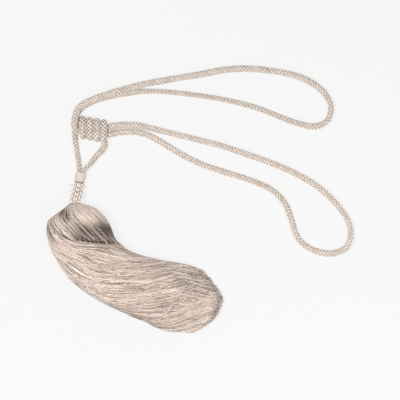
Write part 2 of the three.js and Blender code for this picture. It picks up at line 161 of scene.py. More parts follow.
windingFinish = [
    [28.25, 119.55, 11.7, 0], [28.65, 117.97, 10.75, 0],
]
rightStrandRoute = [
    [28.95, 117.2, 10.05, 0], [29.2, 115.4, 8.3, 0], [29.4, 112.9, 5.8, 0], [29.3, 110.0, 3.2, 0],
    [27.9, 107.0, 1.3, 10], [24.6, 103.3, 0.4, 20], [19.6, 98.2, 0.3, 35], [13.8, 90.7, 2.0, 55],
    [8.8, 85.3, 4.0, 80], [5.5, 82.0, 4.8, 90], [3.8, 76.6, 5.5, 90],
]
knot = {
    "tilt": -9.5,  # degrees, the barrel against +X
    "leftEnd": (-1.2, 133.2),
    "turns": 4,
    "lastPass": 0.33,  # part of the last turn that is wound
    "pitch": 8.5,
    "firstTurn": 2.6,
    "stepsPerTurn": 14,
}


def lyingHalfHeight(roll):  # of the rolled oval: the root of the squares of what its half axes rise
    turn = np.radians(roll)
    return np.hypot(cord["width"] / 2 * np.sin(turn), cord["thickness"] / 2 * np.cos(turn))


def routePoints(rows):  # axis points, with the underside at the row's height
    table = np.array(rows, float)
    z = lyingHalfHeight(table[:, 3]) + cord["floorGap"] + table[:, 2]
    return np.column_stack([table[:, 0], table[:, 1], z])


def curveThrough(points, perSpan=24):
    # each span is a cubic whose end slopes come from its neighbours, with spans timed by the root of
    # their length; the second result is the place in the rows
    p = np.vstack([2 * points[0] - points[1], points, 2 * points[-1] - points[-2]])
    gap = np.sqrt(np.linalg.norm(np.diff(p, axis=0), axis=1))[:, None]
    p0, p1, p2, p3 = p[:-3], p[1:-2], p[2:-1], p[3:]
    g0, g1, g2 = gap[:-2], gap[1:-1], gap[2:]
    slope1 = g1 * ((p1 - p0) / g0 - (p2 - p0) / (g0 + g1) + (p2 - p1) / g1)
    slope2 = g1 * ((p2 - p1) / g1 - (p3 - p1) / (g1 + g2) + (p3 - p2) / g2)
    t = (np.arange(perSpan) / perSpan)[None, :, None]
    a, b, c, d = (x[:, None, :] for x in (p1, p2, slope1, slope2))
    spans = a + c * t + (3 * (b - a) - 2 * c - d) * t ** 2 + (2 * (a - b) + c + d) * t ** 3
    place = np.arange(len(points) - 1)[:, None] + t[0, :, 0][None, :]
    return np.vstack([spans.reshape(-1, 3), points[-1]]), np.append(place.ravel(), len(points) - 1)


def lyingStrand(rows):  # axis, and broad side: level, then turned by the roll
    axis, place = curveThrough(routePoints(rows))
    tangent = unit(np.gradient(axis, axis=0))
    across = unit(np.cross(up, tangent))
    roll = np.radians(np.interp(place, np.arange(len(rows)), np.array(rows, float)[:, 3]))[:, None]
    return axis, across * np.cos(roll) + np.cross(tangent, across) * np.sin(roll)


def barrelDirections():  # along the knot, and across it in the lying plane
    tilt = math.radians(knot["tilt"])
    return np.array([math.cos(tilt), math.sin(tilt), 0]), np.array([-math.sin(tilt), math.cos(tilt), 0])


def windingStrand():
    # turns round two strands side by side: a stadium, two straight runs and two round ends, moved on
    # along the barrel by the pitch in each turn
    barrel, across = barrelDirections()
    coreHeight = cord["thickness"] / 2
    endRadius = coreHeight + cord["clearance"] + cord["thickness"] / 2
    straight = 2 * (cord["width"] + cord["clearance"] - coreHeight)
    rounded = math.pi * endRadius
    loop = 2 * (straight + rounded)
    turns = knot["turns"] - 1 + knot["lastPass"]
    count = round(turns * knot["stepsPerTurn"])
    turn = np.arange(count + 1) * turns / count
    run = ((turn % 1) * loop + rounded / 2) % loop
    upper = run / endRadius - math.pi / 2
    lower = (run - rounded - straight) / endRadius + math.pi / 2
    zones = [run < rounded, run < rounded + straight, run < 2 * rounded + straight]
    sideways = np.select(zones, [
        straight / 2 + endRadius * np.cos(upper),
        straight / 2 - (run - rounded),
        -straight / 2 + endRadius * np.cos(lower),
    ], -straight / 2 + (run - 2 * rounded - straight))
    height = np.select(zones, [
        endRadius * np.sin(upper),
        endRadius + 0 * run,
        endRadius * np.sin(lower),
    ], -endRadius)
    middle = cord["floorGap"] + cord["thickness"] + cord["clearance"] + coreHeight
    helix = np.array([*knot["leftEnd"], middle])
    helix = helix + barrel * (knot["firstTurn"] + knot["pitch"] * turn)[:, None]
    helix = helix + across * sideways[:, None] + up * height[:, None]
    points = np.vstack([routePoints(windingStart), helix, routePoints(windingFinish)])
    axis, _ = curveThrough(points)
    tangent = unit(np.gradient(axis, axis=0))
    return axis, unit(barrel - tangent * (tangent @ barrel)[:, None])


def averaged(rows, reach):  # over reach rows on either side; the ends stay
    padded = np.pad(rows, ((reach, reach), (0, 0)), mode="reflect", reflect_type="odd")
    kernel = np.ones(2 * reach + 1) / (2 * reach + 1)
    return np.column_stack([np.convolve(padded[:, k], kernel, "valid") for k in range(rows.shape[1])])


def evenAxis(parts):
    # the parts end to end, sampled evenly, each row averaged with its neighbours; the broad side keeps
    # its sign and is turned square to the axis
    axis = np.vstack([a for a, _ in parts])
    side = np.vstack([s for _, s in parts])
    keep = np.append(True, np.linalg.norm(np.diff(axis, axis=0), axis=1) > cord["samePlace"])
    axis, side = axis[keep], side[keep]
    flips = np.where(np.sum(side[1:] * side[:-1], axis=1) < 0, -1, 1)
    side = side * np.append(1, np.cumprod(flips))[:, None]
    run = np.append(0, np.cumsum(np.linalg.norm(np.diff(axis, axis=0), axis=1)))
    even = np.linspace(0, run[-1], round(run[-1] / cord["fineStep"]) + 1)
    axis = np.column_stack([np.interp(even, run, axis[:, k]) for k in range(3)])
    side = np.column_stack([np.interp(even, run, side[:, k]) for k in range(3)])
    axis, side = averaged(axis, cord["axisSteadied"]), averaged(side, cord["rollSteadied"])
    tangent = unit(np.gradient(axis, axis=0))
    side = unit(side - tangent * np.sum(side * tangent, axis=1, keepdims=True))
    return {"run": even, "axis": axis, "side": side, "over": np.cross(tangent, side)}


def along(path, run, key):  # a column of the path at distances along it
    return np.stack([np.interp(run, path["run"], path[key][:, k]) for k in range(3)], axis=-1)


def ovalTable():  # angle and distance round the section, from its top
    angle = np.linspace(0, 2 * np.pi, cord["ovalSteps"] + 1)
    x = cord["width"] / 2 * np.sin(angle)
    y = cord["thickness"] / 2 * np.cos(angle)
    return angle, np.append(0, np.cumsum(np.hypot(np.diff(x), np.diff(y))))


ovalAngle, ovalRun = ovalTable()
ovalRound = ovalRun[-1]


def cordSurface(path, run, roundRun, lift, share=1.0):
    # a place on the oval section at distances along and round, lifted along its normal
    angle = np.interp(roundRun % ovalRound, ovalRun, ovalAngle)
    halfWidth = cord["width"] / 2
    halfThickness = cord["thickness"] / 2
    outX = np.sin(angle) * halfThickness
    outY = np.cos(angle) * halfWidth
    size = np.hypot(outX, outY)
    x = halfWidth * share * np.sin(angle) + lift * outX / size
    y = halfThickness * share * np.cos(angle) + lift * outY / size
    return (along(path, run, "axis") + along(path, run, "side") * x[..., None]
            + along(path, run, "over") * y[..., None])


def makeMesh(name, points, faces, uv=None, tone=None, smooth=True):
    # a mesh from whole arrays: points, arrays of faces with the same number of corners, and a uv and
    # a tone, 0 the darkest, for each point
    mesh = bpy.data.meshes.new(name)
    mesh.vertices.add(len(points))
    mesh.vertices.foreach_set("co", (points * mm).astype(np.float32).ravel())
    counts = np.concatenate([np.full(len(f), f.shape[1]) for f in faces])
    corners = np.concatenate([f.ravel() for f in faces]).astype(np.int32)
    mesh.loops.add(len(corners))
    mesh.loops.foreach_set("vertex_index", corners)
    mesh.polygons.add(len(counts))
    mesh.polygons.foreach_set("loop_start", np.append(0, np.cumsum(counts)[:-1]).astype(np.int32))
    mesh.polygons.foreach_set("use_smooth", np.full(len(counts), smooth))
    mesh.update(calc_edges=True)
    if uv is not None:
        layer = mesh.uv_layers.new(name="UVMap")
        layer.data.foreach_set("uv", uv[corners].astype(np.float32).ravel())
    if tone is not None:
        attribute = mesh.attributes.new("tone", "FLOAT", "POINT")
        attribute.data.foreach_set("value", tone.astype(np.float32))
    mesh.validate()
    return added(name, mesh)


def tubeFaces(count, rows, sides, flip=False):
    # corners of many closed tubes, numbered tube by tube and row by row, with a middle point before
    # the first row and one after the last
    block = rows * sides + 2
    r, s = np.meshgrid(np.arange(rows - 1), np.arange(sides), indexing="ij")
    a = 1 + r * sides + s
    b = 1 + r * sides + (s + 1) % sides
    quads = np.stack([a, b, b + sides, a + sides], axis=-1).reshape(-1, 4)
    s = np.arange(sides)
    first = np.stack([0 * s, 1 + (s + 1) % sides, 1 + s], axis=-1)
    start = 1 + (rows - 1) * sides
    last = np.stack([0 * s + block - 1, start + s, start + (s + 1) % sides], axis=-1)
    caps = np.vstack([first, last])
    if flip:
        quads, caps = quads[:, ::-1], caps[:, ::-1]
    offset = (np.arange(count) * block)[:, None, None]
    return [(quads[None] + offset).reshape(-1, 4), (caps[None] + offset).reshape(-1, 3)]


def withMiddles(rings):  # to points, with a middle one before and after
    first = rings[:, 0].mean(axis=1, keepdims=True)
    last = rings[:, -1].mean(axis=1, keepdims=True)
    body = rings.reshape(rings.shape[0], -1, rings.shape[-1])
    return np.concatenate([first, body, last], axis=1).reshape(-1, rings.shape[-1])


def closedTubes(rings, uv, tone, flip=False):
    # points, faces, uv and tone of closed tubes; both parts of uv and the tone spread over the rings
    shape = rings.shape[:3]
    uv = np.stack([np.broadcast_to(row, shape) for row in uv], axis=-1)
    tone = np.broadcast_to(tone, shape)[..., None]
    return withMiddles(rings), tubeFaces(*shape, flip), withMiddles(uv), withMiddles(tone)[:, 0]


def stitchColumns():
    # middles, widths and slants of eight stitch columns round the section: two meet in a V on each
    # of its four sides
    broad = cord["broadFace"] / 2
    narrow = ovalRound / 4 - broad
    quarters = np.arange(4) * ovalRound / 4
    columns = []
    for k, middle in enumerate(quarters):
        width = broad if k % 2 == 0 else narrow
        columns += [(middle + width / 2, width, 1), (middle - width / 2, width, -1)]
    return np.array(columns)


def plumpStitches(surfaceAt, run, middle, slantSign, widthShare, shape):
    # each stitch is a pointed bar that lies slantwise in its column: its length times u along the
    # slant, its fullness the root of one less a power of u, its outer end lower than its inner one
    columns = np.broadcast_arrays(run, middle, slantSign, widthShare)
    run, middle, slantSign, widthShare = (x.reshape(-1, 1, 1) for x in columns)
    u = np.linspace(-stitchForm["reach"], stitchForm["reach"], shape["rows"])[None, :, None]
    angle = roundAngles(shape["sides"])[None, None, :]
    fullness = np.sqrt(1 - np.abs(u) ** stitchForm["pointed"])
    slant = math.radians(shape["slant"])
    own = draw.normal(0, 1, (len(run), 3))[:, :, None, None]
    keptLength, keptSpread = stitchForm["leastLength"], stitchForm["leastSpread"]
    halfLength = shape["length"] / 2 * (keptLength + (1 - keptLength) * widthShare)
    sidewise = shape["width"] / 2 * (1 + stitchForm["sizeVaries"] * own[:, 0]) * fullness * np.cos(angle)
    lengthwise = u * halfLength
    reachAlong = math.sin(slant) * sidewise - math.cos(slant) * lengthwise
    reachRound = slantSign * (math.sin(slant) * lengthwise + math.cos(slant) * sidewise)
    reachRound = reachRound * (keptSpread + (1 - keptSpread) * widthShare)
    lift = shape["height"] * fullness * np.sin(angle) - shape["tilt"] * u - shape["sunk"]
    lift = lift + stitchForm["liftVaries"] * own[:, 1]
    rings = surfaceAt(run + reachAlong, middle + reachRound, lift)
    # painted light and shade: each stitch is lighter on top and darker to both ends, most at its lower
    # outer end; the rest is random tone
    tone = shape["tone"] + stitchForm["toneVaries"] * own[:, 2] + stitchForm["paintedTopLight"] * np.sin(angle)
    tone = tone - stitchForm["paintedOuterShade"] * u - stitchForm["paintedEndTone"] * u ** 2
    points, faces, uv, tone = closedTubes(rings, (u * 0.5 + 0.5, angle / (2 * np.pi)), tone)
    for k, block in enumerate([(shape["rows"] - 1) * shape["sides"], 2 * shape["sides"]]):
        turned = np.repeat(slantSign.ravel() < 0, block)
        faces[k][turned] = faces[k][turned][:, ::-1]
    return points, faces, uv, tone


def joined(parts):  # several (points, faces, uv, tone) as one
    starts = np.cumsum([0] + [len(part[0]) for part in parts])
    faces = [np.vstack([part[1][k] + start for part, start in zip(parts, starts)]) for k in (0, 1)]
    points, _, uv, tone = (list(rows) for rows in zip(*parts))
    return np.vstack(points), faces, np.vstack(uv), np.concatenate(tone)


def braidedCord(name, path, paintedInsideShade):
    # a dark oval tube, painted dark as the shade between the stitches, under eight columns of stitches,
    # those of every second column half a pitch on
    length = path["run"][-1]
    columns = stitchColumns()
    count = round(length / cord["pitch"])
    pitch = length / count
    middle, width, slantSign = columns[:, 0:1], columns[:, 1:2], columns[:, 2:3]
    run = (np.arange(count) + 0.5 + 0.5 * (slantSign > 0)) * pitch

    def onCord(at, around, lift):
        return cordSurface(path, np.clip(at, cord["endRoom"], length - cord["endRoom"]), around, lift)

    widthShare = width / (cord["broadFace"] / 2)
    stitches = plumpStitches(onCord, run, middle, slantSign, widthShare, cordStitch)
    tubeRun = np.linspace(0, length, round(length / cord["coreStep"]))[None, :, None]
    tubeRound = -(np.arange(cord["coreSides"]) * ovalRound / cord["coreSides"])[None, None, :]
    tube = cordSurface(path, tubeRun, tubeRound, 0.0, cord["coreShare"])
    inside = closedTubes(tube, (tubeRun / cord["pitch"], -tubeRound / ovalRound), paintedInsideShade)
    points, faces, uv, tone = joined([stitches, inside])
    points[:, 2] = np.maximum(points[:, 2], cord["lowest"])
    return makeMesh(name, points, faces, uv, tone)


print("cords")
embracePath = evenAxis([lyingStrand(embraceRoute)])
hangerPath = evenAxis([lyingStrand(leftStrandRoute), windingStrand(), lyingStrand(rightStrandRoute)])
cordTable = [
    # name, path, tone of the braid's inside (painted shade between the stitches), lay, solids that it
    # stands for
    ("embrace_braid", embracePath, 0.36, "loose", ["embrace_cord"]),
    ("hanger_braid", hangerPath, 0.12, "taut", ["hanger_cord_left", "hanger_knot", "hanger_cord_right"]),
]
cordPieces = []
for name, path, paintedInsideShade, lay, solids in cordTable:
    piece = braidedCord(name, path, paintedInsideShade)
    cordPieces.append(piece)
    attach(piece, "root")
    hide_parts(*solids)


print("tassel")
# stations from the neck past the cut end: the outline's left and right points, then heights of the
# widest level, the top and the underside
tasselStations = np.array([
    [-12.2, 41.3, 0.4, 41.5, 20.3, 26.2, 14.4],
    [-17.6, 36.6, 7.8, 39.7, 20.2, 33.5, 7.6],
    [-26.8, 29.8, 17.6, 36.2, 20.0, 43.5, 1.4],
    [-37.2, 21.4, 27.0, 28.9, 19.6, 50.5, 0],
    [-39.8, 10.6, 34.7, 18.2, 19.2, 54.0, 0],
    [-38.2, -0.5, 39.6, 6.9, 19.0, 54.5, 0],
    [-33.6, -14.6, 42.8, -0.8, 18.8, 53.0, 0],
    [-25.3, -31.3, 47.6, -6.4, 18.4, 51.0, 0],
    [-10.7, -50.8, 56.4, -13.6, 18.0, 49.0, 0],
    [9.6, -66.8, 69.8, -20.0, 17.2, 47.0, 0],
    [32.7, -80.6, 87.6, -24.6, 16.4, 44.5, 0],
    [56.2, -91.4, 107.5, -28.8, 15.4, 42.0, 0],
    [79.2, -101.4, 125.8, -31.4, 14.4, 39.0, 0],
    [101.7, -111.2, 141.8, -35.8, 13.0, 35.5, 0],
    [123.4, -113.4, 158.8, -41.0, 11.6, 32.0, 0],
    [145.8, -114.6, 177.6, -47.0, 10.2, 28.0, 0],
    [168.0, -115.6, 196.8, -54.0, 9.0, 24.0, 0],
])
fold = {
    "x": 17, "y": -1.5, "slope": -0.08, "halfLength": 26,  # its middle, its line and its run
    "headSide": 15, "skirtSide": 4.5,  # reach on either side
    "depth": 0.3,  # part of the height that it takes
}
cutEnd = {
    "middle": 15.4,  # station of the cut
    "left": (1.0, 3.3), "right": (2.85, 2.4),  # how much earlier at a corner, and its power
    "above": 0.3, "below": 1.0,  # how much earlier on top and below
}
tassel = {
    "baseSquareness": 6, "baseGrows": (0.3, 3), "topRoundness": 2.25,
    "yarnRadius": 0.54,
    "yarnShare": 0.985,  # the outermost yarns, as a part of the section
    "ragged": 0.12,  # spread of the yarns' ends, in stations
    "droop": 0.5,  # part of its height lost at the cut end
    "droopLength": 1.6, "droopPower": 1.5,  # stations over which it is, and how late
    "lowest": 0.02,
    "deepBelow": (20.0, -30.0, -200.0),
}
locks = {
    "pinches": (1.5, 3.5),  # times along a lock
    "spread": 0.65,  # of yarns in a lock, in its widths
    "lockTone": 1.08,  # the lightest lock
    "yarnTone": (0.58, 1.14),
    "layerPower": 1.3,  # crowds yarns to the outermost layer
}
wander = {"sines": 3, "rateVaries": (0.6, 1.5), "strengthVaries": (0.4, 1.3)}


def stationValues(place):  # the table's columns at any place, on a smooth cubic
    last = len(tasselStations) - 1
    i = np.clip(np.floor(place).astype(int), 0, last - 1)
    f = (place - i)[..., None]
    p0, p1, p2, p3 = (tasselStations[np.clip(i + k, 0, last)] for k in (-1, 0, 1, 2))
    slopeA, slopeB = (p2 - p0) / 2, (p3 - p1) / 2
    return (p1 * (1 + 2 * f) * (1 - f) ** 2 + slopeA * f * (1 - f) ** 2
            + p2 * f * f * (3 - 2 * f) + slopeB * f * f * (f - 1))


def foldShare(x, y):  # part of the height lost: the depth times bell curves along the fold and across
    lengthwise = (x - fold["x"]) / fold["halfLength"]
    off = y - (fold["y"] + fold["slope"] * (x - fold["x"]))
    reach = np.where(off > 0, fold["headSide"], fold["skirtSide"])
    return fold["depth"] * np.exp(-(lengthwise ** 4)) * np.exp(-((off / reach) ** 2))


def tasselPoints(place, share, angle):
    # a station and a polar place in its section: a superellipse as wide as the outline, round above
    # and squarish below, lowered at the fold
    values = stationValues(place)
    leftX, leftY, rightX, rightY, wide, top, base = np.moveaxis(values, -1, 0)
    base = np.maximum(base, 0)
    c, s = np.cos(angle), np.sin(angle)
    squareness = 2 + (tassel["baseSquareness"] - 2) * smoothStep(place, *tassel["baseGrows"])
    power = np.where(s < 0, squareness, tassel["topRoundness"])
    reach = share * (np.abs(c) ** power + np.abs(s) ** power) ** (-1 / power)
    x = (leftX + rightX) / 2 + reach * c * (rightX - leftX) / 2
    y = (leftY + rightY) / 2 + reach * c * (rightY - leftY) / 2
    z = wide + reach * s * np.where(s < 0, wide - base, top - wide)
    z = z * (1 - foldShare(x, y))
    return np.stack([x, y, z], axis=-1)


def endPlace(angle, share=1.0):  # the cut's station: its middle less powers of the way across and up
    across, height = share * np.cos(angle), share * np.sin(angle)
    corner = np.where(across > 0, cutEnd["right"][0], cutEnd["left"][0])
    power = np.where(across > 0, cutEnd["right"][1], cutEnd["left"][1])
    shorter = np.where(height > 0, cutEnd["above"], cutEnd["below"])
    return cutEnd["middle"] - corner * np.abs(across) ** power - shorter * height ** 2


def yarnTubes(name, axis, radius, tone, sides=3):
    # thin tubes along many axes (yarns, steps, 3): the section's corners stand round each step, the
    # first one turned away from deep below the tassel; radius and tone are for all, each yarn or step
    radius, tone = (np.broadcast_to(x, axis.shape[:2]) for x in (radius, tone))
    tangent = unit(np.gradient(axis, axis=1))
    outward = unit(axis - np.array(tassel["deepBelow"]))
    side = unit(np.cross(tangent, outward))
    over = np.cross(side, tangent)
    turn = roundAngles(sides) + np.pi / 2
    ring = side[:, :, None, :] * np.cos(turn)[:, None] + over[:, :, None, :] * np.sin(turn)[:, None]
    rings = axis[:, :, None, :] + ring * radius[..., None, None]
    rings[..., 2] = np.maximum(rings[..., 2], tassel["lowest"])
    step = np.linalg.norm(np.diff(axis, axis=1, prepend=axis[:, :1]), axis=-1).cumsum(axis=1)
    uv = (step[:, :, None], np.arange(sides) / sides)
    return makeMesh(name, *closedTubes(rings, uv, tone[:, :, None]))


def waves(count, steps, cycles, strength):  # a smooth wander: a sum of sines of random phase
    t = alongSteps(steps)
    total = np.zeros((count, steps))
    for k in range(wander["sines"]):
        phase = draw.uniform(0, 2 * np.pi, (count, 1))
        rate = cycles * draw.uniform(*wander["rateVaries"], (count, 1)) * (k + 1)
        total += np.sin(2 * np.pi * rate * t + phase) / (k + 1)
    return total * strength * draw.uniform(*wander["strengthVaries"], (count, 1))


def eachLock(span, lock):  # an even draw for each lock, given to all its yarns
    return draw.uniform(*span, (lock[-1] + 1, 1))[lock]


def eachYarn(span, lock):  # an even draw for each yarn
    return draw.uniform(*span, (len(lock), 1))


def inLocks(count, lockCount, steps, crowd, low):
    # yarns gathered in locks: each one's place across the whole, from 0 to 1, is drawn to its lock's
    # middle by crowd where the lock pinches; its tone is its lock's times its own
    lock = np.arange(count) * lockCount // count
    t = alongSteps(steps)
    rate, phase = eachLock(locks["pinches"], lock), eachLock((0, 1), lock)
    pinch = 0.5 + 0.5 * np.sin(2 * np.pi * (rate * t + phase))
    own = eachYarn((-locks["spread"], locks["spread"]), lock) * (1 - crowd * pinch)
    tone = eachLock((low, locks["lockTone"]), lock) * eachYarn(locks["yarnTone"], lock)
    return lock, (lock[:, None] + 0.5 + own) / lockCount, tone


# Angles round the tassel's section are degrees: 0 at its right edge, 90 on top, 180 at its left edge.
# Head yarns wind round the bulb to the fold and dive under the skirt's.
head = {
    # where the first and the last yarn meet the fold, and degrees that they turn for each station
    "foldPlace": (5.5, 6.55), "foldAngle": (111.0, 30.0), "twist": (13.0, 8.0),
    "locks": 46, "crowd": 0.6, "low": 0.8,  # how many, how they pinch, the tone of the darkest
    "lockSways": (1.0, 1.2), "yarnSways": (1.5, 0.8), "swayGrows": (0.2, 2),
    "past": 1.0, "sinksFrom": -0.5,  # stations past the fold: its end, and where it starts to sink
    "late": (-0.25, 0.3),  # and how much later a lock does it
    "dive": (0.5, 0.2),  # how deep, as a part of the section
    "diveFrom": (0.65, 1),  # the places across of these two depths
    "brightShare": 0.06,  # part of the yarns that stay light in the hollow's painted shade
    "brightDepth": 0.05,  # part of that painted shade that those take
    "dim": (0.75, 1), "dimPower": 0.4,  # and the part that a lock takes, raised to a power
    # deeper layers are painted darker, as the shade between yarns
    "layerDepth": 0.07, "layerGrows": (0.3, 2), "layerShade": 0.35,
    "proud": (-0.025, 0.012), "proudGrows": (0.5, 2.5),
    "glints": (1.2, 0.1),
}
innerLine = np.array([
    # station, angle: the skirt's innermost yarn, along the fold and then round
    [0, 182], [1, 169], [2, 156], [3, 143], [4.2, 127], [4.8, 121], [5.45, 111], [5.86, 94.6],
    [6.27, 69], [6.7, 42], [7.3, 20], [8.2, 4], [9.2, -14], [16, -160],
])
outerLine = np.array([
    # station, angle: its outermost yarn, along the left edge and then over the top
    [0, 262], [2, 236], [4, 210], [5.5, 200], [7, 194], [8.2, 186], [9.2, 168], [16, 22],
])

lineRounding = 0.25  # stations on each side
# painted shade in the tassel's colour: a dark seam line, the hollow above the fold, a dark band at the
# upper left and the skirt's lip below the fold
shade = {
    "seamStart": (-21.6, 6.0), "seamReach": (9.6, -8.4), "seamWidth": 1.1, "seamDepth": 1.2,
    "seamEnds": 0.1,  # part of a half wave left off at each end
    "middle": 20, "halfLength": 26,  # of the hollow, along the fold
    "above": (25, 12), "under": (-8, -2),  # distances above the fold where it comes and goes
    "bandPlace": (-17, 27), "bandAcross": (0.75, 0.66), "bandWidth": 6.5,
    "bandMiddle": 29, "bandHalfLength": 12, "bandDepth": 0.85,
    "skirtFrom": (-20, -6), "skirtTo": (2, -6), "skirtDepth": 0.5,  # painted shade on the skirt's lip by the fold
}


def lineAt(line, place):  # its angle, the mean of three places, so that its corners are round
    return sum(np.interp(place + k * lineRounding, line[:, 0], line[:, 1]) for k in (-1, 0, 1)) / 3


def shadeOf(axis):
    # painted shade, from 0 to 1: how deep a place lies in the hollow above the fold, the dark band at the
    # upper left or the dark seam beside the hollow: bell curves and smooth steps across each
    x, y = axis[..., 0], axis[..., 1]
    startX, startY = shade["seamStart"]
    reachX, reachY = shade["seamReach"]
    run = np.clip(((x - startX) * reachX + (y - startY) * reachY) / (reachX ** 2 + reachY ** 2), 0, 1)
    seamOff = np.hypot(x - startX - reachX * run, y - startY - reachY * run)
    seam = shade["seamDepth"] * np.exp(-((seamOff / shade["seamWidth"]) ** 2))
    seam = seam * np.sin(np.pi * (shade["seamEnds"] + (1 - 2 * shade["seamEnds"]) * run))
    off = y - (fold["y"] + fold["slope"] * (x - fold["x"]))
    window = np.exp(-(((x - shade["middle"]) / shade["halfLength"]) ** 4))
    hollow = window * smoothStep(off, *shade["above"]) * smoothStep(off, *shade["under"])
    bandX, bandY = shade["bandPlace"]
    across = (x - bandX) * shade["bandAcross"][0] + (y - bandY) * shade["bandAcross"][1]
    band = shade["bandDepth"] * np.exp(-((across / shade["bandWidth"]) ** 2))
    band = band * np.exp(-(((y - shade["bandMiddle"]) / shade["bandHalfLength"]) ** 2))
    lip = shade["skirtDepth"] * window * smoothStep(off, *shade["skirtFrom"])
    return np.clip(hollow + band + lip * smoothStep(off, *shade["skirtTo"]) + seam, 0, 1)


def headYarns(count, steps):
    # each yarn runs from the neck to the fold with an even twist, and then sinks into the tassel
    lock, u, tone = inLocks(count, head["locks"], steps, head["crowd"], head["low"])
    t = alongSteps(steps)
    place0 = np.interp(u, [0, 1], head["foldPlace"])
    place = t * (place0 + head["past"])
    angle = np.interp(u, [0, 1], head["foldAngle"])
    angle = angle + np.interp(u, [0, 1], head["twist"]) * (place0 - place)
    sway = waves(head["locks"], steps, *head["lockSways"])[lock]
    sway = sway + waves(count, steps, *head["yarnSways"])
    angle = angle + sway * smoothStep(place, *head["swayGrows"])
    past = smoothStep(place - place0 - eachLock(head["late"], lock), head["sinksFrom"], head["past"])
    dive = np.interp(u, head["diveFrom"], head["dive"])
    bright = eachYarn((0, 1), lock) < head["brightShare"]
    layer = np.where(bright, 0.0, eachYarn((0, 1), lock) ** locks["layerPower"])
    proud = eachLock(head["proud"], lock) * smoothStep(place, *head["proudGrows"])
    sunk = head["layerDepth"] * layer * smoothStep(place, *head["layerGrows"])
    axis = tasselPoints(place, (tassel["yarnShare"] - sunk + proud) * (1 - dive * past), np.radians(angle))
    dim = eachLock(head["dim"], lock) ** head["dimPower"]
    # painted glints along each yarn, and painted shade on deeper layers and in the hollow, band and seam
    tone = tone * (1 + waves(count, steps, *head["glints"])) * (1.0 - head["layerShade"] * layer)
    tone = tone * (1 - np.where(bright, head["brightDepth"], dim) * shadeOf(axis))
    return axis, tassel["yarnRadius"], tone


skirt = {
    "locks": 48, "crowd": 0.7, "low": 0.82,
    "cutTries": (11.5, 15.6, 165),  # from, to and how many
    "start": (0.0, 0.4),
    "freed": (3.5, 10),  # stations over which yarns come free
    "lockWaves": (1.4, 1.8), "lockFirst": 0.2,  # cycles, degrees, and the part before that
    "yarnWaves": (3.5, 1.6), "yarnFirst": 0.1, "yarnGrows": (3.5, 13),
    "curls": (8.0, 1.0), "curlGrows": (6, 13),
    "lipPlace": 5.8, "lipHalf": 1.6, "lipFrom": (0.6, 1), "lipStrays": (6.0, 4.0),  # lock's, yarn's
    # deeper layers are painted darker, as the shade between yarns
    "layerDepth": 0.1, "layerShade": 0.4,
    "proud": (-0.03, 0.012),
    "heightWaves": (3.0, 1.0), "heightShare": 0.014, "heightFirst": 0.3,
    "radius": (0.75, 1.15), "tipTaper": 0.4, "tipFrom": 0.93,
    "onHead": (6.2, 4.5), "pastFold": (10, 8), "pastShade": 0.85,
    "lockStreak": (0.15, 1.5), "yarnStreak": (0.7, 1.1),
    "glints": (3.5, 0.14),
    "lockUnshaded": (0, 0.75), "yarnUnshaded": (0, 0.2),  # parts of the painted shade escaped
    # painted shade darker towards the far end, and painted light at the drooping cut end
    "paintedFarTone": 0.12, "farFrom": (8, 12), "paintedEndTone": 0.5,
}


def cutPlace(lines, s):  # the first of many places tried along a yarn that is past the cut
    tries = np.linspace(*skirt["cutTries"])[None, :]
    past = tries > endPlace(np.radians(lines(tries, s[:, None])))
    return tries[0, np.argmax(past, axis=1)]


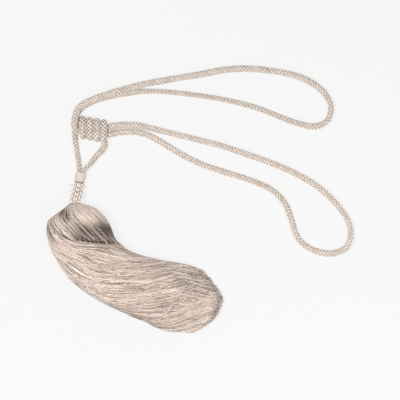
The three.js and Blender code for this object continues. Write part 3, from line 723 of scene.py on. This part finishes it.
def freeYarns(lines, count, steps, lockCount, stray, lifted, low, seen):
    # yarns whose angles lines gives from their places along and across; each strays, more so towards
    # the end, lies in a layer of its own, and droops at its cut end
    lock, s, tone = inLocks(count, lockCount, steps, skirt["crowd"], low)
    t = alongSteps(steps)
    layer = eachYarn((0, 1), lock) ** locks["layerPower"]
    last = cutPlace(lines, s[:, -1]) + tassel["ragged"]
    start = draw.uniform(*skirt["start"], count)
    place = start[:, None] + t * (last - start)[:, None]
    freed = smoothStep(place, *skirt["freed"])
    lip = np.clip(1 - np.abs(place - skirt["lipPlace"]) / skirt["lipHalf"], 0, 1)
    lip = lip * smoothStep(s, *skirt["lipFrom"])
    cycles, strength = skirt["lockWaves"]
    off = waves(lockCount, steps, cycles, strength * stray)[lock] * (skirt["lockFirst"] + freed)
    cycles, strength = skirt["yarnWaves"]
    growing = skirt["yarnFirst"] + freed * smoothStep(place, *skirt["yarnGrows"])
    off = off + waves(count, steps, cycles, strength * stray) * growing
    off = off + waves(count, steps, *skirt["curls"]) * smoothStep(place, *skirt["curlGrows"])
    lockStray, yarnStray = skirt["lipStrays"]
    off = off + draw.normal(0, lockStray, (lockCount, 1))[lock] * lip
    off = off + draw.normal(0, yarnStray, (count, 1)) * lip
    atEnd = np.radians(lines(place, s) + off)[:, -1]
    last = np.minimum(last, endPlace(atEnd) + draw.uniform(-0.5, 0.5, count) * tassel["ragged"])
    place = start[:, None] + t * (last - start)[:, None]
    angle = lines(place, s) + off
    share = tassel["yarnShare"] - skirt["layerDepth"] * layer + eachLock(skirt["proud"], lock) + lifted
    rises = skirt["heightShare"] * waves(count, steps, *skirt["heightWaves"])
    share = np.minimum(share + rises * (skirt["heightFirst"] + freed), 1.0 + lifted)
    axis = tasselPoints(place, share, np.radians(angle))
    end = smoothStep(place, last[:, None] - tassel["droopLength"], last[:, None])
    axis[..., 2] *= 1 - tassel["droop"] * end ** tassel["droopPower"]
    radius = tassel["yarnRadius"] * eachYarn(skirt["radius"], lock)
    radius = radius * (1 - skirt["tipTaper"] * smoothStep(t, skirt["tipFrom"], 1))
    onHead = smoothStep(place, *skirt["onHead"])
    streak = eachLock(skirt["lockStreak"], lock) * eachYarn(skirt["yarnStreak"], lock)
    # painted glints along each yarn and painted shade on deeper layers
    tone = tone * (1 + waves(count, steps, *skirt["glints"])) * (1.0 - skirt["layerShade"] * layer)
    tone = tone * (1 + seen * onHead * (streak - 1))
    # painted shade in the hollow, band and seam, less for some locks and yarns
    depth = 1 - seen * eachLock(skirt["lockUnshaded"], lock) - eachYarn(skirt["yarnUnshaded"], lock)
    shaded = np.maximum(onHead, skirt["pastShade"] * smoothStep(place, *skirt["pastFold"]))
    tone = tone * (1 - depth * shaded * shadeOf(axis))
    # painted shade towards the far end, and painted light where the cut end droops
    far = skirt["paintedFarTone"] * smoothStep(place, *skirt["farFrom"])
    return axis, radius, tone * (1 - far + skirt["paintedEndTone"] * end)


def skirtYarns(count, steps, lockCount=skirt["locks"], stray=1.0, lifted=0.0, low=skirt["low"]):
    # yarns over the left shoulder: each keeps its share of the way from the outer to the inner line
    def lines(place, s):
        return lineAt(outerLine, place) * (1 - s) + lineAt(innerLine, place) * s

    return freeYarns(lines, count, steps, lockCount, stray, lifted, low, seen=1.0)


underLine = {
    "start": 30, "round": 196,  # first angle at the fold, and the angle that all cover
    "twist": (8, 3), "foldPlace": 6.5,  # degrees a station: first, and added
    "turns": (6.0, 8.6),  # stations over which they join the skirt's
}


def underLines(place, w):
    # a smooth step to the skirt's lines from angles spread evenly over the head's right side and
    # underside, with an even twist before the fold
    first, more = underLine["twist"]
    onHead = underLine["start"] - underLine["round"] * w
    onHead = onHead + (first + more * w) * np.maximum(underLine["foldPlace"] - place, 0)
    late = lineAt(innerLine, place) * (1 - w) + (lineAt(outerLine, place) - 360) * w
    return onHead + (late - onHead) * smoothStep(place, *underLine["turns"])


def underYarns(count, steps):  # the rest of the way round the tassel
    return freeYarns(underLines, count, steps, skirt["locks"], 1.0, 0.0, skirt["low"], seen=0.0)


brush = {
    "middles": (0.02, 0.94),  # squared parts of the section
    "length": 3.2,  # stations
    "sways": (1.5, 2.0), "shareSways": (1.5, 1.0), "shareSway": 0.02,
    "droopFrom": 0.5,  # part of the length that stays level
    "tone": (0.45, 1.15),
}


def endYarns(count, steps):
    # short visible lengths inside the cut end, so that it is a brush and not a hollow
    angle0 = draw.uniform(0, 360, count)
    share0 = np.sqrt(draw.uniform(*brush["middles"], count))
    last = endPlace(np.radians(angle0), share0) - draw.uniform(0, tassel["ragged"], count)
    t = alongSteps(steps)
    place = (last - brush["length"])[:, None] + brush["length"] * t
    angle = angle0[:, None] + waves(count, steps, *brush["sways"])
    share = share0[:, None] * (1 + brush["shareSway"] * waves(count, steps, *brush["shareSways"]))
    axis = tasselPoints(place, share, np.radians(angle))
    axis[..., 2] *= 1 - tassel["droop"] * smoothStep(t, brush["droopFrom"], 1)
    tone = draw.uniform(*brush["tone"], (count, 1))
    return axis, tassel["yarnRadius"], tone


strayForm = {"share": 1.01, "tucked": 0.06, "tone": 1.3}
strayRows = np.array([
    # station and angle where a yarn starts, and where it ends
    [12.85, 63, 12.71, 80], [12.67, 104, 12.59, 123], [11.69, 70, 11.50, 92], [13.3, 84, 13.0, 100],
])


def strayYarns(steps=12):  # straight in station and angle, both ends tucked in
    t = alongSteps(steps)
    a, b, c, d = (strayRows[:, k:k + 1] for k in range(4))
    share = strayForm["share"] - strayForm["tucked"] * (2 * t - 1) ** 4 + 0 * a
    axis = tasselPoints(a + (c - a) * t, share, np.radians(b + (d - b) * t))
    return axis, tassel["yarnRadius"], strayForm["tone"]


core = {
    "share": 0.87, "from": 0.15, "to": 14.0, "rows": 64, "sides": 72,
    "closes": (3.0, 1.2),  # stations before the cut
    "least": 0.02,  # section left there
    "ridgeHeight": 0.012, "ridges": 36,
    # painted shade: the skin is dark as the shade under the yarns, lighter towards the cut end
    "tone": 0.36, "paintedFarTone": 0.3, "farFrom": (9, 12), "shadeTone": 0.85,
    "lowest": 0.3,
}


def tasselCore():
    # the inside, a closed skin under the yarns: the section times its share, with ridges
    places = np.linspace(core["from"], core["to"], core["rows"])
    place, angle = np.meshgrid(places, roundAngles(core["sides"]), indexing="ij")
    limit = endPlace(angle)
    first, last = core["closes"]
    closed = smoothStep(place, limit - first, limit - last)
    closing = np.sqrt(np.clip(1 - closed, core["least"], 1))
    ridges = core["ridgeHeight"] * np.sin(angle * core["ridges"] + place)
    rings = tasselPoints(place, core["share"] * closing + ridges, angle)[None]
    # painted shade under the yarns, eased towards the cut end, and deeper in the hollow, band and seam
    tone = core["tone"] + core["paintedFarTone"] * smoothStep(place, *core["farFrom"])
    tone = tone * (1 - core["shadeTone"] * shadeOf(rings))
    rings[..., 2] = np.maximum(rings[..., 2], core["lowest"])
    return makeMesh("tassel_core", *closedTubes(rings, (place, angle), tone))


corePiece = tasselCore()
tasselPieces = [
    corePiece,
    yarnTubes("head_yarns", *headYarns(count=620, steps=30)),
    yarnTubes("skirt_yarns_a", *skirtYarns(count=400, steps=60)),
    yarnTubes("skirt_yarns_b", *skirtYarns(count=400, steps=60)),
    yarnTubes("under_yarns_a", *underYarns(count=330, steps=56)),
    yarnTubes("under_yarns_b", *underYarns(count=330, steps=56)),
    yarnTubes("loose_yarns", *skirtYarns(120, 60, lockCount=120, stray=4.0, lifted=0.012, low=0.95)),
    yarnTubes("end_yarns", *endYarns(count=900, steps=7)),
    yarnTubes("stray_yarns", *strayYarns()),
]
for piece in tasselPieces:
    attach(piece, "root")
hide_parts("tassel")


print("sleeve and neck")
sleeve = {
    "top": (1.25, 78.0, 9.5), "bottom": (-0.8, 66.6, 11.4),
    "width": 11.9, "height": 9.2, "bulge": 0.35, "edge": 0.6,
    "threadPitch": 0.55, "threadRelief": 0.07,
    "rows": 120, "sides": 64,
    "tone": 0.7, "threadLightAndShade": 0.1, "footShade": 0.5, "footReach": 0.8,  # painted light on the thread's ridges and painted shade in its grooves, and painted shade darker at its lower end, where the neck meets it
}
neckRoute = np.array([
    # x, y, z, half width, half height
    [-0.86, 66.25, 11.46, 5.3, 4.3], [-1.35, 63.6, 11.9, 5.6, 4.7], [-2.6, 58.0, 13.6, 6.0, 5.2],
    [-4.3, 51.0, 16.8, 6.5, 5.7], [-5.6, 45.6, 19.5, 6.5, 6.0], [-5.75, 44.0, 20.3, 6.4, 6.0],
    [-5.75, 41.85, 20.3, 6.3, 6.0],
])
neck = {
    "columns": 6, "pitch": 4.1, "radius": 6.2,
    "pairApart": 0.235,  # of a row of stitches from its column's middle, in columns
    # the inside's tone is painted shade, dark between the stitches
    "coreShare": 0.78, "coreSteps": 24, "paintedCoreShade": 0.3, "uvLength": 10,
}
neckStitch = {
    "slant": 36.0, "length": 4.9, "width": 2.6, "height": 1.15, "sunk": 0.65, "tilt": 0.35,
    "tone": 0.98, "rows": 5, "sides": 6,
}
neckRing = {
    "at": 0.13, "radius": 1.5, "yarn": 0.5, "lift": 0.35, "steps": 28, "sides": 8,
    "tone": 0.9, "toneVaries": 0.05,
}


def boundSleeve():
    # a barrel on an oval section: half its width, a bulge, quarter-round rims and a sine for the
    # thread wound round it
    top, bottom = np.array(sleeve["top"]), np.array(sleeve["bottom"])
    length = np.linalg.norm(top - bottom)
    lengthwise = unit(top - bottom)
    across = unit(np.cross(lengthwise, up))
    over = np.cross(across, lengthwise)
    h = np.linspace(0, length, sleeve["rows"])[None, :, None]
    angle = roundAngles(sleeve["sides"])[None, None, :]
    middle = 1 - ((h / length - 0.5) * 2) ** 2
    fromEnd = np.clip(np.minimum(h, length - h) / sleeve["edge"], 0, 1)
    rim = sleeve["edge"] * (1 - np.sqrt(np.clip(1 - (1 - fromEnd) ** 2, 0, 1)))
    thread = np.sin(2 * np.pi * (h / sleeve["threadPitch"] + angle / (2 * np.pi)))
    out = sleeve["bulge"] * middle - rim + sleeve["threadRelief"] * thread
    x = (sleeve["width"] / 2 + out) * np.cos(angle)
    y = (sleeve["height"] / 2 + out) * np.sin(angle)
    rings = bottom + lengthwise * h[..., None] + across * x[..., None] + over * y[..., None]
    # painted shade at the foot where the neck meets it, and painted light and shade along the thread's sine
    foot = sleeve["footShade"] * np.exp(-(h / sleeve["footReach"]) ** 2)
    tone = sleeve["tone"] + sleeve["threadLightAndShade"] * thread - foot
    uv = (h / sleeve["threadPitch"], angle)
    return makeMesh("sleeve_windings", *closedTubes(rings, uv, tone, flip=True))


def neckAxis():  # the curve through the rows, its tangent and level side
    route, _ = curveThrough(neckRoute[:, :3])
    tangent = unit(np.gradient(route, axis=0))
    side = unit(np.cross(tangent, up))
    return {"run": np.linspace(0, 1, len(route)), "axis": route, "side": side, "tangent": tangent}


neckPath = neckAxis()
neckLength = np.linalg.norm(np.diff(neckRoute[:, :3], axis=0), axis=1).sum()


def neckPoints(t, angle, share, lift):
    # a place along the neck and an angle round it: an oval of the half width and half height there,
    # times share, and lifted
    rows = np.arange(len(neckRoute))
    halfWidth, halfHeight = (np.interp(t * rows[-1], rows, neckRoute[:, k]) for k in (3, 4))
    side = along(neckPath, t, "side")
    over = np.cross(side, along(neckPath, t, "tangent"))
    x = (halfWidth * share + lift) * np.cos(angle)
    y = (halfHeight * share + lift) * np.sin(angle)
    return along(neckPath, t, "axis") + side * x[..., None] + over * y[..., None]


def braidedNeck():
    # six open columns of stitches in pairs, over an inside painted dark as the shade that shows between
    # them
    count = round(neckLength / neck["pitch"])
    spacing = 2 * np.pi * neck["radius"] / neck["columns"]
    column = np.repeat(np.arange(neck["columns"]), 2)[:, None]
    sign = np.tile([1, -1], neck["columns"])[:, None]
    stagger = 0.5 * (column % 2) * (np.arange(count) < count - 1)
    run = (np.arange(count) + 0.5 + stagger) * neckLength / count
    middle = column * spacing + sign * neck["pairApart"] * spacing

    def onNeck(at, around, lift):
        return neckPoints(np.clip(at / neckLength, 0, 1), np.pi / 2 - around / neck["radius"], 1.0, lift)

    stitches = plumpStitches(onNeck, run, middle, sign, 1.0, neckStitch)
    t = alongSteps(neck["coreSteps"])[..., None]
    angle = roundAngles(neck["coreSteps"])[None, None, :]
    rings = neckPoints(t, -angle, neck["coreShare"], 0.0)
    inside = closedTubes(rings, (t * neck["uvLength"], angle), neck["paintedCoreShade"], flip=True)
    return makeMesh("neck_stitches", *joined([stitches, inside]))


def neckRingStitch():
    # one round stitch on top by the sleeve: a circle of the yarn's radius carried round the ring's,
    # on the neck's surface
    steps, sides = neckRing["steps"], neckRing["sides"]
    i, j = np.meshgrid(np.arange(steps), np.arange(sides), indexing="ij")
    a, b = i * 2 * np.pi / steps, j * 2 * np.pi / sides
    reach = neckRing["radius"] + neckRing["yarn"] * np.cos(b)
    t = neckRing["at"] + reach * np.cos(a) / neckLength
    points = neckPoints(t, np.pi / 2 + reach * np.sin(a) / neck["radius"], 1.0,
                        neckRing["lift"] + neckRing["yarn"] * np.sin(b))

    def corner(m, n):
        return (m % steps) * sides + n % sides

    faces = np.stack([corner(i, j), corner(i, j + 1), corner(i + 1, j + 1), corner(i + 1, j)], axis=-1)
    uv = np.stack([a / np.pi, b / np.pi], axis=-1).reshape(-1, 2)
    tone = neckRing["tone"] + neckRing["toneVaries"] * np.sin(3 * a).ravel()
    return makeMesh("neck_ring", points.reshape(-1, 3), [faces.reshape(-1, 4)], uv, tone)


threadEnd = {"radius": 0.28, "tone": 0.75, "steps": 9, "sides": 5}
threadEndRoutes = np.array([
    # three points of each stray thread end by the sleeve
    [[-6.4, 64.4, 11.5], [-9.8, 64.0, 11.0], [-12.6, 64.6, 9.6]],
    [[-6.8, 63.2, 11.0], [-9.6, 62.8, 10.0], [-11.6, 61.4, 8.8]],
    [[-7.8, 58.6, 12.6], [-10.4, 57.6, 11.6], [-11.4, 55.2, 10.4]],
    [[4.4, 64.0, 11.4], [6.2, 62.4, 11.0], [7.0, 60.4, 10.0]],
    [[4.2, 62.8, 11.0], [5.8, 61.4, 10.0], [8.0, 61.6, 9.0]],
    [[2.6, 54.6, 14.6], [4.6, 53.2, 14.4], [5.4, 51.0, 13.2]],
])


def threadEnds():  # thin yarns on quadratic curves through three points
    t = np.linspace(0, 1, threadEnd["steps"])[None, :, None]
    a, b, c = (threadEndRoutes[:, k][:, None, :] for k in range(3))
    axis = a * (1 - t) * (1 - 2 * t) + 4 * b * t * (1 - t) + c * t * (2 * t - 1)
    return yarnTubes("thread_ends", axis, threadEnd["radius"], threadEnd["tone"], threadEnd["sides"])


sleevePiece = boundSleeve()
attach(sleevePiece, "root")
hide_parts("binding_sleeve")
neckPieces = [braidedNeck(), neckRingStitch(), threadEnds()]
for piece in neckPieces:
    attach(piece, "root")
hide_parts("braided_neck")


print("materials")
brightestTone = 1.2
toneRamp = {"gap": 0.1, "middle": 0.55, "light": 1.25 / 1.3}  # parts of it
fibreDetail = 3.0


def yarnMaterial(name, look):
    # the tone, which carries the painted light and shade, picks the colour from gap to highlight, a fine
    # noise drawn out along the yarn and a broad one vary it, and the fine one raises fibres
    material = bpy.data.materials.new(name)
    material.use_nodes = True
    tree = material.node_tree
    shader = tree.nodes["Principled BSDF"]

    def fill(node, sockets):  # each socket linked, or set to a value
        for socket, source in sockets.items():
            if isinstance(source, bpy.types.NodeSocket):
                tree.links.new(source, node.inputs[socket])
            else:
                node.inputs[socket].default_value = source

    def add(kind, sockets, **settings):
        node = tree.nodes.new("ShaderNode" + kind)
        for setting, value in settings.items():
            setattr(node, setting, value)
        fill(node, sockets)
        return node.outputs

    tone = add("Attribute", {}, attribute_name="tone")["Fac"]
    uv = add("UVMap", {}, uv_map="UVMap")["UV"]
    drawnOut = add("Mapping", {"Vector": uv, "Scale": look["fibreScale"]})["Vector"]
    fibres = add("TexNoise", {"Vector": drawnOut, "Scale": 1.0, "Detail": fibreDetail})["Fac"]
    place = add("TexCoord", {})["Object"]
    patches = add("TexNoise", {"Vector": place, "Scale": look["patchScale"]})["Fac"]
    varied = add("Math", {0: fibres, 1: look["fibreTone"], 2: tone}, operation="MULTIPLY_ADD")[0]
    varied = add("Math", {0: patches, 1: look["patchTone"], 2: varied}, operation="MULTIPLY_ADD")[0]
    scaled = add("Math", {0: varied, 1: 1 / brightestTone}, operation="MULTIPLY")[0]
    colour = add("ValToRGB", {"Fac": scaled})["Color"]
    ramp = colour.node.color_ramp
    first, last = ramp.elements
    first.position, last.position = toneRamp["gap"], toneRamp["light"]
    first.color, last.color = (*look["gap"], 1), (*look["light"], 1)
    ramp.elements.new(toneRamp["middle"]).color = (*look["middle"], 1)
    bump = add("Bump", {"Strength": look["bump"], "Distance": look["bumpDepth"] * mm, "Height": fibres})
    fill(shader, {**look["shader"], "Base Color": colour, "Normal": bump["Normal"]})
    return material


braidLook = {
    "gap": (0.16, 0.115, 0.085), "middle": (0.56, 0.47, 0.40), "light": (0.84, 0.76, 0.69),
    "shader": {"Roughness": 0.5, "Specular IOR Level": 0.4, "Sheen Weight": 0.15, "Sheen Roughness": 0.4},
    "fibreScale": (1.5, 9, 1), "fibreTone": 0.12, "bump": 0.6, "bumpDepth": 0.25,
    "patchScale": 60.0, "patchTone": 0.08,
}
silkLook = {
    "gap": (0.075, 0.047, 0.036), "middle": (0.47, 0.375, 0.315), "light": (0.92, 0.79, 0.70),
    "shader": {"Roughness": 0.38, "Specular IOR Level": 0.5, "Sheen Weight": 0.1, "Sheen Roughness": 0.4},
    "fibreScale": (0.12, 3, 1), "fibreTone": 0.12, "bump": 0.3, "bumpDepth": 0.1,
    "patchScale": 35.0, "patchTone": 0.1,
}
threadLook = {
    "gap": (0.30, 0.24, 0.20), "middle": (0.62, 0.53, 0.46), "light": (0.84, 0.77, 0.70),
    "shader": {"Roughness": 0.42, "Specular IOR Level": 0.45, "Sheen Weight": 0.1, "Sheen Roughness": 0.4},
    "fibreScale": (2, 20, 1), "fibreTone": 0.08, "bump": 0.4, "bumpDepth": 0.05,
    "patchScale": 120.0, "patchTone": 0.05,
}
for name, look, pieces in [
    ("braided_yarn", braidLook, [*cordPieces, *neckPieces]),
    ("tassel_yarn", silkLook, tasselPieces),
    ("wound_thread", threadLook, [sleevePiece]),
]:
    material = yarnMaterial(name, look)
    for piece in pieces:
        piece.data.materials.append(material)


print("floor and light")
studio = {
    "floor": (0.12, 0.12, 0.12, 1), "floorGlow": 0.79, "floorRoughness": 0.9,
    "floorHalf": 3000.0, "floorHeight": -0.4,
    "white": (1, 1, 1, 1), "sky": 0.44,
    "aim": (110.0, 20.0, 0.0),  # what the lights look at
    # name, place, size and power
    "lights": [("key", (-420, 20, 1500), 400, 20.0), ("fill", (700, -500, 1100), 1200, 13.0)],
}


def addLight(name, place, size, power):  # a soft square light, turned to the aim by two angles
    data = bpy.data.lights.new(name, "AREA")
    data.size = size * mm
    data.energy = power
    light = added(name, data)
    light.location = [v * mm for v in place]
    direction = unit(np.array(studio["aim"]) - np.array(place, float))
    light.rotation_euler = (math.acos(-direction[2]), 0, math.atan2(direction[0], -direction[1]))


def addFloor():  # a wide pale plane just under the tieback
    half, height = studio["floorHalf"], studio["floorHeight"]
    corners = np.array([[x * half, y * half, height] for x, y in ((-1, -1), (1, -1), (1, 1), (-1, 1))])
    floor = makeMesh("floor", corners, [np.array([[0, 1, 2, 3]])], smooth=False)
    material = bpy.data.materials.new("pale_floor")
    material.use_nodes = True
    sockets = material.node_tree.nodes["Principled BSDF"].inputs
    sockets["Base Color"].default_value = studio["floor"]
    sockets["Roughness"].default_value = studio["floorRoughness"]
    sockets["Specular IOR Level"].default_value = 0.0
    sockets["Emission Color"].default_value = studio["white"]
    sockets["Emission Strength"].default_value = studio["floorGlow"]
    floor.data.materials.append(material)


def addSky():  # even soft light from all round
    world = bpy.data.worlds.new("studio")
    world.use_nodes = True
    sockets = world.node_tree.nodes["Background"].inputs
    sockets["Color"].default_value = studio["white"]
    sockets["Strength"].default_value = studio["sky"]
    bpy.context.scene.world = world


addFloor()
addSky()
for light in studio["lights"]:
    addLight(*light)
bpy.context.scene.view_settings.view_transform = "Standard"
